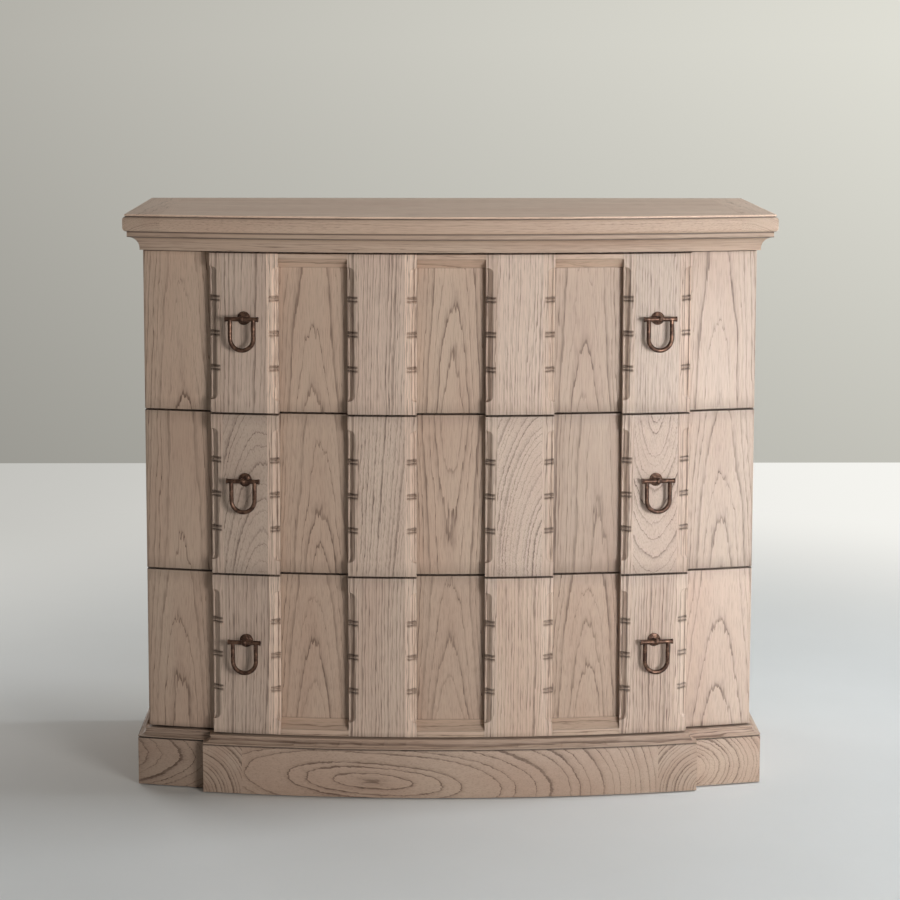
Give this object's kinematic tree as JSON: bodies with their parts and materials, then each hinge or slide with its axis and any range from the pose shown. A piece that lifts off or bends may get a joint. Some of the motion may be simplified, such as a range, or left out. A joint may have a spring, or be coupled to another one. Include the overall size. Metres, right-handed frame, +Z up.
{
  "type": "chest of drawers",
  "caption": "Bow-fronted oak chest of drawers with proud carved blocks on each drawer front, a moulded cornice, a breakfront plinth and bronze bail pulls.",
  "frame": {"origin": "on the floor under the middle of the top", "axes": "+X to the right seen from the front, +Y towards the back, +Z up"},
  "size_m": [1.067, 0.508, 0.961],
  "materials": {
    "oak_face": "greyed limed oak, matt",
    "oak_inner": "plain sealed wood",
    "bronze": "dark oil-rubbed bronze",
    "steel": "zinc plated",
    "glide_pad": "matt"
  },
  "bodies": {
    "carcase": {"top_field": "oak_face", "top_band_left": "oak_face", "top_band_right": "oak_face", "cornice_front": "oak_face", "cornice_left": "oak_face", "cornice_right": "oak_face", "plinth_centre": "oak_face", "plinth_wing_left": "oak_face", "plinth_wing_right": "oak_face", "plinth_side_left": "oak_face", "plinth_side_right": "oak_face", "side_left": "oak_face", "side_right": "oak_face", "back_panel": "oak_inner", "plinth_back": "oak_inner", "corner_blocks": "oak_inner", "case_bottom": "oak_inner", "divider_lower": "oak_inner", "divider_upper": "oak_inner", "top_rail_front": "oak_inner", "top_rail_back": "oak_inner", "drawer_runners": "oak_inner", "floor_glides": "glide_pad"},
    "bottom_drawer": {"bottom_drawer_front": "oak_face", "bottom_drawer_side_left": "oak_inner", "bottom_drawer_side_right": "oak_inner", "bottom_drawer_back": "oak_inner", "bottom_drawer_bottom": "oak_inner", "bottom_pull_bolts": "steel", "bottom_left_pull_base": "bronze", "bottom_right_pull_base": "bronze"},
    "bottom_left_bail": {"bottom_left_pull_bar": "bronze", "bottom_left_pull_bail": "bronze"},
    "bottom_right_bail": {"bottom_right_pull_bar": "bronze", "bottom_right_pull_bail": "bronze"},
    "middle_drawer": {"middle_drawer_front": "oak_face", "middle_drawer_side_left": "oak_inner", "middle_drawer_side_right": "oak_inner", "middle_drawer_back": "oak_inner", "middle_drawer_bottom": "oak_inner", "middle_pull_bolts": "steel", "middle_left_pull_base": "bronze", "middle_right_pull_base": "bronze"},
    "middle_left_bail": {"middle_left_pull_bar": "bronze", "middle_left_pull_bail": "bronze"},
    "middle_right_bail": {"middle_right_pull_bar": "bronze", "middle_right_pull_bail": "bronze"},
    "top_drawer": {"top_drawer_front": "oak_face", "top_drawer_side_left": "oak_inner", "top_drawer_side_right": "oak_inner", "top_drawer_back": "oak_inner", "top_drawer_bottom": "oak_inner", "top_pull_bolts": "steel", "top_left_pull_base": "bronze", "top_right_pull_base": "bronze"},
    "top_left_bail": {"top_left_pull_bar": "bronze", "top_left_pull_bail": "bronze"},
    "top_right_bail": {"top_right_pull_bar": "bronze", "top_right_pull_bail": "bronze"}
  },
  "joints": [
    {"name": "bottom_drawer_slide", "type": "slide", "parent": "carcase", "child": "bottom_drawer", "axis": [0, -1, 0], "range_m": [0, 0.25]},
    {"name": "bottom_left_bail_swing", "type": "hinge", "parent": "bottom_drawer", "child": "bottom_left_bail", "pos_m": [-0.33956, -0.21602, 0.2579], "axis": [-0.987, 0.1608, 0], "range_deg": [-15, 195]},
    {"name": "bottom_right_bail_swing", "type": "hinge", "parent": "bottom_drawer", "child": "bottom_right_bail", "pos_m": [0.33956, -0.21602, 0.2579], "axis": [-0.987, -0.1608, 0], "range_deg": [-15, 195]},
    {"name": "middle_drawer_slide", "type": "slide", "parent": "carcase", "child": "middle_drawer", "axis": [0, -1, 0], "range_m": [0, 0.25]},
    {"name": "middle_left_bail_swing", "type": "hinge", "parent": "middle_drawer", "child": "middle_left_bail", "pos_m": [-0.33956, -0.21602, 0.5267], "axis": [-0.987, 0.1608, 0], "range_deg": [-15, 195]},
    {"name": "middle_right_bail_swing", "type": "hinge", "parent": "middle_drawer", "child": "middle_right_bail", "pos_m": [0.33956, -0.21602, 0.5267], "axis": [-0.987, -0.1608, 0], "range_deg": [-15, 195]},
    {"name": "top_drawer_slide", "type": "slide", "parent": "carcase", "child": "top_drawer", "axis": [0, -1, 0], "range_m": [0, 0.25]},
    {"name": "top_left_bail_swing", "type": "hinge", "parent": "top_drawer", "child": "top_left_bail", "pos_m": [-0.33956, -0.21602, 0.7928], "axis": [-0.987, 0.1608, 0], "range_deg": [-15, 195]},
    {"name": "top_right_bail_swing", "type": "hinge", "parent": "top_drawer", "child": "top_right_bail", "pos_m": [0.33956, -0.21602, 0.7928], "axis": [-0.987, -0.1608, 0], "range_deg": [-15, 195]}
  ]
}
